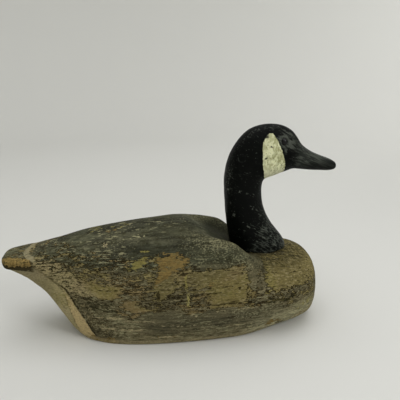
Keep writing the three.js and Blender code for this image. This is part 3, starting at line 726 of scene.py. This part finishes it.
def neck_paint(look):
    """Black paint with brush strokes, worn grey round the eye, with painted sheen along the crown, the nape,
    the throat and the neck's foot, and a cream patch on each cheek.
    """
    paint = Finish("black neck paint")
    x, y, z = paint.x, paint.y, paint.z
    broad = paint.noise((30, 20, 30), 2.0)
    fine = paint.noise((5, 5, 5), 3.0, 0.6, shift=5)
    steep = paint.turned(-28)
    brush = paint.noise((24, 2.4, 2.4), 3.0, 0.65, shift=9, place=steep)
    along_bill = paint.noise((30, 4, 2.6), 2.0, 0.6, shift=13, place=paint.turned(-24))
    mottle = paint.noise((9, 8, 11), 4.0, 0.6, shift=17)

    # The black, worn grey round the eye, with painted sheen along the crown, the nape, the throat and the
    # foot of the neck.
    bill = paint.ramp(x, *BILL_X)
    colour = paint.mix(bill, look.black, look.bill)
    # Painted sheen: the crown, a strip along each side of it, the nape, the neck's side above the breast and
    # the throat are painted grey where sheen would be; round the eye the black is worn grey.
    crown = paint.ramp(abs(y), 10, 4) * paint.ramp(z, 300, 316) * paint.ramp(x, 196, 184)
    nape = paint.ramp(x + (z - 200) * 0.1, 108, 92) * paint.ramp(z, 190, 260)
    folded = paint.folded()
    by_eye = paint.ramp(paint.distance(folded, EYE_SURROUND), 26, 10)
    breast_side = paint.ramp(x - (z - 120) * 0.3, 108, 140) * paint.ramp(z, 196, 160)
    from_strip = abs(abs(y) - 12) + (mottle - 0.5) * 16
    strip = paint.ramp(from_strip, 6, 0) * paint.ramp(z, 280, 304) * paint.ramp(x, 186, 170)
    throat = paint.ramp(x, 112, 134) * paint.ramp(z, 250, 225)
    worn = crown * 0.1 + strip * 0.3 + nape * 0.32 + by_eye * 0.48 + breast_side * 0.24 + throat * 0.12 - 0.24
    worn = worn + (brush - 0.5) * 1.9 + (mottle - 0.5) * 1.1
    rub_and_sheen = paint.ramp(worn, 0.0, 0.45)
    colour = paint.mix(rub_and_sheen * 0.7, colour, look.rubbed_and_sheen)
    scratched = by_eye * 0.12 + breast_side * 0.08 + 0.2
    scratches = paint.flecks((16, 3, 2.2), scratched, 2.0, shift=25, place=steep)
    specks = paint.flecks((2.8, 2.8, 2.8), 0.15, 1.0, shift=27)
    colour = paint.mix(paint.most(scratches * 0.45, specks * 0.4), colour, look.scratch)
    frayed = paint.ragged((4, 4, 4), 2.5)
    for mark in NECK_MARKS:
        cover = paint.patch(mark, 0.6, frayed) * paint.ramp(fine, 0.4, 0.5)
        colour = paint.mix(cover * 0.48, colour, look.scratch)
    knot = paint.ramp(abs(paint.distance(folded, KNOT) - KNOT_RADIUS), 1.2, 0.3)
    colour = paint.mix(knot * paint.ramp(mottle, 0.46, 0.6) * 0.18, colour, look.rubbed_and_sheen)
    from_glass = paint.distance(folded, tuple(eye_apex("eye_left") / MM))
    putty = paint.ramp(from_glass, 12.5, 10) * paint.ramp(from_glass, 6.6, 7.8)
    colour = paint.mix(putty * paint.ramp(mottle, 0.36, 0.56) * 0.5, colour, look.rubbed_and_sheen)
    streaks = paint.ramp(along_bill, 0.46, 0.62) * paint.ramp(x, 188, 212)
    colour = paint.mix(streaks * 0.55, colour, look.rubbed_and_sheen)
    # Painted light and shade on the bill: lighter on its top and darker towards its lower edge.
    colour = paint.shade(colour, bill * 0.15 - paint.ramp(z, 278, 265) * bill * 0.8 + 1)

    # The cheek patch: its back edge bows at both ends and its front edge slants to the crown.
    rise = paint.maths("MAXIMUM", (z - 292) / 30, 0.0)
    drop = paint.maths("MAXIMUM", (290 - z) / 35, 0.0)
    uneven = (fine - 0.5) * 4
    back_edge = rise ** 4 * 11 + drop ** 2 * 5 + CHEEK_BACK + uneven
    above = paint.maths("MAXIMUM", z - 263, 0.0)
    front_edge = CHEEK_FRONT - above * 0.1 - above ** 2 * 0.0046 + uneven
    cheek = paint.ramp(x - back_edge, -0.3, 0.3) * paint.ramp(front_edge - x, -0.3, 0.3)
    cheek = cheek * paint.ramp(z + uneven * 0.4, *CHEEK_TOP) * paint.ramp(z, 240, 246)
    chipped = paint.patches(CHEEK_CHIPS, 0.5, frayed)
    cream = paint.shade(look.cream, paint.ramp(broad, 0.3, 0.7) * 0.14 + 0.9)
    cracks = paint.flecks((3.4, 3, 6), paint.ramp(x, 150, 164) * 0.12 + 0.32, 3.0, 0.05, shift=33)
    cream = paint.mix(paint.ramp(mottle, 0.42, 0.62) * 0.6, cream, look.stain)
    cream = paint.mix(cracks * 0.75, cream, look.stain)
    cream = paint.mix(paint.ramp(z, 272, 256) * 0.5, cream, look.pale_grey)
    cream = paint.mix(paint.flecks((3, 3, 3), 0.2, 1.0, shift=35) * 0.7, cream, look.black)
    colour = paint.mix(cheek * (1 - chipped * 0.9), colour, cream)

    height = brush * 0.5 + along_bill * bill * 0.4 + fine * 0.25 + cheek * 0.3 - knot * 0.4
    roughness = cheek * 0.25 - rub_and_sheen * 0.1 + (mottle - 0.5) * 0.4 + 0.5
    paint.surface.inputs["Specular IOR Level"].default_value = 0.06
    return paint.finish(colour, roughness, height)


def eye_glass(look):
    """Dark glass: a black pupil in a brown iris under a polished dome."""
    glass = Finish("eye glass")
    glass.surface.inputs["IOR"].default_value = 1.33
    from_top = glass.distance(glass.folded(), tuple(eye_apex("eye_left") / MM))
    colour = glass.mix(glass.ramp(from_top, *PUPIL_EDGE), look.pupil, look.iris)
    return glass.finish(colour, 0.03)


def paper(look):
    """The plain pale paper of the floor and wall."""
    sheet = Finish("pale paper")
    return sheet.finish(look.paper, 0.9)


def merged_copy(node, name, levels):
    """A rounded copy of a CAD node, with its hard edges held."""
    shape = bmesh.new()
    shape.from_mesh(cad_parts[node].data)
    bmesh.ops.remove_doubles(shape, verts=shape.verts, dist=WELD)
    bmesh.ops.join_triangles(
        shape, faces=shape.faces, angle_face_threshold=JOIN_BEND, angle_shape_threshold=JOIN_SKEW
    )
    hold = shape.edges.layers.float.new("crease_edge")
    for edge in shape.edges:
        if edge.is_manifold and edge.calc_face_angle() > HARD_EDGE:
            edge[hold] = EDGE_HOLD
    piece = new_piece(shape, name)
    rounding = piece.modifiers.new("rounding", "SUBSURF")
    rounding.levels = levels
    rounding.render_levels = levels
    return piece


def new_piece(shape, name):
    """A bmesh as an object at the origin."""
    mesh = bpy.data.meshes.new(name)
    shape.to_mesh(mesh)
    shape.free()
    piece = bpy.data.objects.new(name, mesh)
    bpy.context.scene.collection.objects.link(piece)
    return piece


def settle(piece):
    """Turns a piece's modifiers into its mesh."""
    graph = bpy.context.evaluated_depsgraph_get()
    mesh = bpy.data.meshes.new_from_object(piece.evaluated_get(graph))
    piece.modifiers.clear()
    piece.data = mesh
    if not mesh.polygons:
        raise RuntimeError(f"{piece.name} has no faces")


def carve(piece, relief):
    """Moves a piece's surface along its normals by relief(place, normal), in millimetres."""
    shape = bmesh.new()
    shape.from_mesh(piece.data)
    shape.normal_update()
    moves = [corner.normal * relief(corner.co / MM, corner.normal) * MM for corner in shape.verts]
    for corner, move in zip(shape.verts, moves):
        corner.co += move
    shape.to_mesh(piece.data)
    shape.free()
    piece.data.shade_smooth()


def rough(place, *size):
    """Noise from -1 to 1 whose features have a size along each axis."""
    return noise.noise(Vector(part / step for part, step in zip(place, size)))


def step(value, start, end):
    """0 at start, 1 at end, and a soft step between."""
    share = max(0.0, min(1.0, (value - start) / (end - start)))
    return share * share * (3 - 2 * share)


def body_relief(look):
    """The body's unevenness, tool strokes, dents and worn tail, as a function of the place."""
    swell = look.swell / MM
    strokes = look.strokes / MM

    def relief(place, normal):
        x, y, z = place
        height = swell * rough(place, *BODY_SWELL) + strokes * rough(place, *BODY_STROKE)
        height += strokes * 0.4 * rough(place, *BODY_NICK)
        tail = step(x, -215, -245) * (1 - abs(normal.z))
        height -= tail * (0.2 + rough(place, *TAIL_SPLINTER))
        for dent in DENTS:
            inside = sum(((at - mid) / reach) ** 2 for at, mid, reach in zip(place, dent.middle, dent.reach))
            if inside < 1.6:
                ragged = inside + 0.45 * rough(place, 3, 3, 2.4)
                height -= dent.depth * (1 - step(ragged, 0.3, 1.1))
        return height * step(z, 0.2, 4)

    return relief


def neck_relief(look, eyes):
    """The neck's knife strokes and the ring of putty round each eye."""
    strokes = look.strokes / MM

    def relief(place, normal):
        height = strokes * (rough(place, *NECK_STROKE) + 0.45 * rough(place, *NECK_NICK))
        for eye in eyes:
            away = (place - eye).length
            if away < PUTTY_REACH:
                height *= step(away, 6, 12)
                height += PUTTY_HEIGHT * math.exp(-((away - PUTTY_RADIUS) / PUTTY_WIDTH) ** 2)
        return height * step(place.z, 118, 124)

    return relief


def eye_seat(node):
    """The middle of an eye's flat back, the way that the eye looks, and its radius."""
    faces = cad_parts[node].data.polygons
    groups = [[other for other in faces if other.normal.dot(face.normal) > SAME_WAY] for face in faces]
    back = max(groups, key=lambda group: sum(face.area for face in group))
    area = sum(face.area for face in back)
    middle = sum((face.center * face.area for face in back), Vector()) / area
    return middle, -back[0].normal, math.sqrt(area / math.pi)


def eye_apex(node):
    """The highest point of an eye's dome."""
    middle, outward, _ = eye_seat(node)
    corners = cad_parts[node].data.vertices
    rise = max((corner.co - middle).dot(outward) for corner in corners)
    return middle + outward * rise


def eye_dome(node, name, sides):
    """A lens of glass that fills an eye's seat."""
    middle, outward, radius = eye_seat(node)
    rise = (eye_apex(node) - middle).length
    waist = rise * LENS_WAIST
    shape = bmesh.new()
    bmesh.ops.create_uvsphere(shape, u_segments=sides, v_segments=sides // 2, radius=1)
    for corner in shape.verts:
        depth = rise - waist if corner.co.z > 0 else waist
        corner.co = (corner.co.x * radius, corner.co.y * radius, corner.co.z * depth + waist)
    turn = Vector((0, 0, 1)).rotation_difference(outward).to_matrix().to_4x4()
    bmesh.ops.transform(shape, matrix=turn, verts=shape.verts)
    bmesh.ops.translate(shape, vec=middle, verts=shape.verts)
    bmesh.ops.recalc_face_normals(shape, faces=shape.faces)
    piece = new_piece(shape, name)
    piece.data.shade_smooth()
    return piece


def dress(piece, material, node):
    """Gives a piece its finish and puts it in the place of its CAD node."""
    piece.data.materials.clear()
    piece.data.materials.append(material)
    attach(piece, "root")
    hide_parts(node)


class DECOY_OT_body(bpy.types.Operator):
    """Round, carve and paint the body"""

    bl_idname = "decoy.body"
    bl_label = "Body"

    def execute(self, context):
        look = context.scene.decoy_body
        piece = merged_copy("body", "carved_body", look.rounding)
        settle(piece)
        carve(piece, body_relief(look))
        dress(piece, body_paint(look), "body")
        return {"FINISHED"}


class DECOY_OT_neck(bpy.types.Operator):
    """Round, carve and paint the neck and head"""

    bl_idname = "decoy.neck"
    bl_label = "Neck and head"

    def execute(self, context):
        look = context.scene.decoy_neck
        piece = merged_copy("neck_and_head", "carved_neck_and_head", NECK_ROUNDING)
        skin = piece.modifiers.new("skin", "REMESH")
        skin.mode = "VOXEL"
        skin.voxel_size = look.detail
        soften = piece.modifiers.new("soften", "SMOOTH")
        soften.factor = 0.5
        soften.iterations = 4
        settle(piece)
        eyes = [eye_apex(node) / MM for node in ("eye_left", "eye_right")]
        carve(piece, neck_relief(look, eyes))
        dress(piece, neck_paint(look), "neck_and_head")
        return {"FINISHED"}


class DECOY_OT_eyes(bpy.types.Operator):
    """Set a glass eye in each socket"""

    bl_idname = "decoy.eyes"
    bl_label = "Eyes"

    def execute(self, context):
        look = context.scene.decoy_eyes
        material = eye_glass(look)
        for side in ("left", "right"):
            piece = eye_dome(f"eye_{side}", f"glass_eye_{side}", look.sides)
            dress(piece, material, f"eye_{side}")
        return {"FINISHED"}


# The stage, in metres: a round paper floor that curves up into a low wall.
FLOOR_RADIUS = 1.7
CURVE_RADIUS = 0.8
WALL_HEIGHT = 2.4
CURVE_STEPS = 12
SPIN_STEPS = 96
KEY_PLACE = (0.1, 0, 2.2)
KEY_SIZE = 2.2
LAMP_PLACE = (1.0, -1.2, 1.2)
LAMP_TARGET = (0.1, 0, 0.1)
WALL_LIGHT_PLACE = (1.7, 1.0, 1.6)
WALL_LIGHT_TARGET = (1.9, 2.4, 1.0)
SMALL_LIGHT_SIZE = 0.6
SKY_COLOUR = screen(244, 244, 242)
CAMERA_TARGET = Vector((0.0437, 0, 0.211))
CAMERA_DISTANCE = 0.77
CAMERA_AZIMUTH = math.radians(-10)
CAMERA_ELEVATION = math.radians(18)
CAMERA_LENS = 41.4


def area_light(name, place, target, size, power):
    """A square light that faces its target."""
    light = bpy.data.lights.new(name, "AREA")
    light.size = size
    light.energy = power
    holder = bpy.data.objects.new(name, light)
    holder.location = place
    holder.rotation_euler = (Vector(target) - Vector(place)).to_track_quat("-Z", "Y").to_euler()
    bpy.context.scene.collection.objects.link(holder)


def paper_sweep():
    """The floor and wall, spun from one half outline."""
    shape = bmesh.new()
    profile = [Vector((0, 0, 0)), Vector((FLOOR_RADIUS, 0, 0))]
    for number in range(1, CURVE_STEPS + 1):
        turn = math.pi / 2 * number / CURVE_STEPS
        out = FLOOR_RADIUS + CURVE_RADIUS * math.sin(turn)
        profile.append(Vector((out, 0, CURVE_RADIUS * (1 - math.cos(turn)))))
    profile.append(Vector((FLOOR_RADIUS + CURVE_RADIUS, 0, WALL_HEIGHT)))
    corners = [shape.verts.new(point) for point in profile]
    outline = [shape.edges.new(pair) for pair in zip(corners, corners[1:])]
    bmesh.ops.spin(
        shape, geom=corners + outline, cent=(0, 0, 0), axis=(0, 0, 1),
        angle=math.tau, steps=SPIN_STEPS, use_merge=True,
    )
    bmesh.ops.remove_doubles(shape, verts=shape.verts, dist=0.1 * MM)
    bmesh.ops.recalc_face_normals(shape, faces=shape.faces)
    sweep = new_piece(shape, "paper_sweep")
    sweep.data.shade_smooth()
    return sweep


class DECOY_OT_stage(bpy.types.Operator):
    """Lay the floor, hang the lights and place the camera"""

    bl_idname = "decoy.stage"
    bl_label = "Stage"

    def execute(self, context):
        look = context.scene.decoy_stage
        sweep = paper_sweep()
        sweep.data.materials.append(paper(look))
        area_light("key", KEY_PLACE, (0, 0, 0), KEY_SIZE, look.key_power)
        area_light("lamp", LAMP_PLACE, LAMP_TARGET, SMALL_LIGHT_SIZE, look.lamp_power)
        area_light("wall light", WALL_LIGHT_PLACE, WALL_LIGHT_TARGET, SMALL_LIGHT_SIZE, look.wall_power)
        world = bpy.data.worlds.new("even light")
        world.use_nodes = True
        even = world.node_tree.nodes["Background"]
        even.inputs["Color"].default_value = SKY_COLOUR
        even.inputs["Strength"].default_value = look.sky
        context.scene.world = world
        context.scene.view_settings.view_transform = "Standard"

        camera = bpy.data.cameras.new("camera")
        camera.lens = CAMERA_LENS
        camera.clip_start = 0.01
        holder = bpy.data.objects.new("camera", camera)
        level = math.cos(CAMERA_ELEVATION)
        away = Vector((
            math.sin(CAMERA_AZIMUTH) * level, -math.cos(CAMERA_AZIMUTH) * level, math.sin(CAMERA_ELEVATION)
        ))
        holder.location = CAMERA_TARGET + away * CAMERA_DISTANCE
        holder.rotation_euler = (-away).to_track_quat("-Z", "Y").to_euler()
        context.scene.collection.objects.link(holder)
        context.scene.camera = holder
        return {"FINISHED"}


class DECOY_PT_panel(bpy.types.Panel):
    """The decoy's pieces and what can be changed on each"""

    bl_idname = "DECOY_PT_panel"
    bl_label = "Goose decoy"
    bl_space_type = "VIEW_3D"
    bl_region_type = "UI"
    bl_category = "Decoy"

    def draw(self, context):
        for operator, settings in PIECES:
            box = self.layout.box()
            box.operator(operator.bl_idname)
            group = getattr(context.scene, settings)
            for name in group.__annotations__:
                box.prop(group, name)


PIECES = (
    (DECOY_OT_body, "decoy_body"),
    (DECOY_OT_neck, "decoy_neck"),
    (DECOY_OT_eyes, "decoy_eyes"),
    (DECOY_OT_stage, "decoy_stage"),
)
SETTINGS = {
    "decoy_body": DecoyBody,
    "decoy_neck": DecoyNeck,
    "decoy_eyes": DecoyEyes,
    "decoy_stage": DecoyStage,
}
CLASSES = (*SETTINGS.values(), *(operator for operator, _ in PIECES), DECOY_PT_panel)


def register():
    for cls in CLASSES:
        bpy.utils.register_class(cls)
    for name, group in SETTINGS.items():
        setattr(bpy.types.Scene, name, PointerProperty(type=group))


def unregister():
    for name in SETTINGS:
        delattr(bpy.types.Scene, name)
    for cls in reversed(CLASSES):
        bpy.utils.unregister_class(cls)


def main():
    register()
    bpy.ops.decoy.body()
    bpy.ops.decoy.neck()
    bpy.ops.decoy.eyes()
    bpy.ops.decoy.stage()


if __name__ == "__main__":
    main()
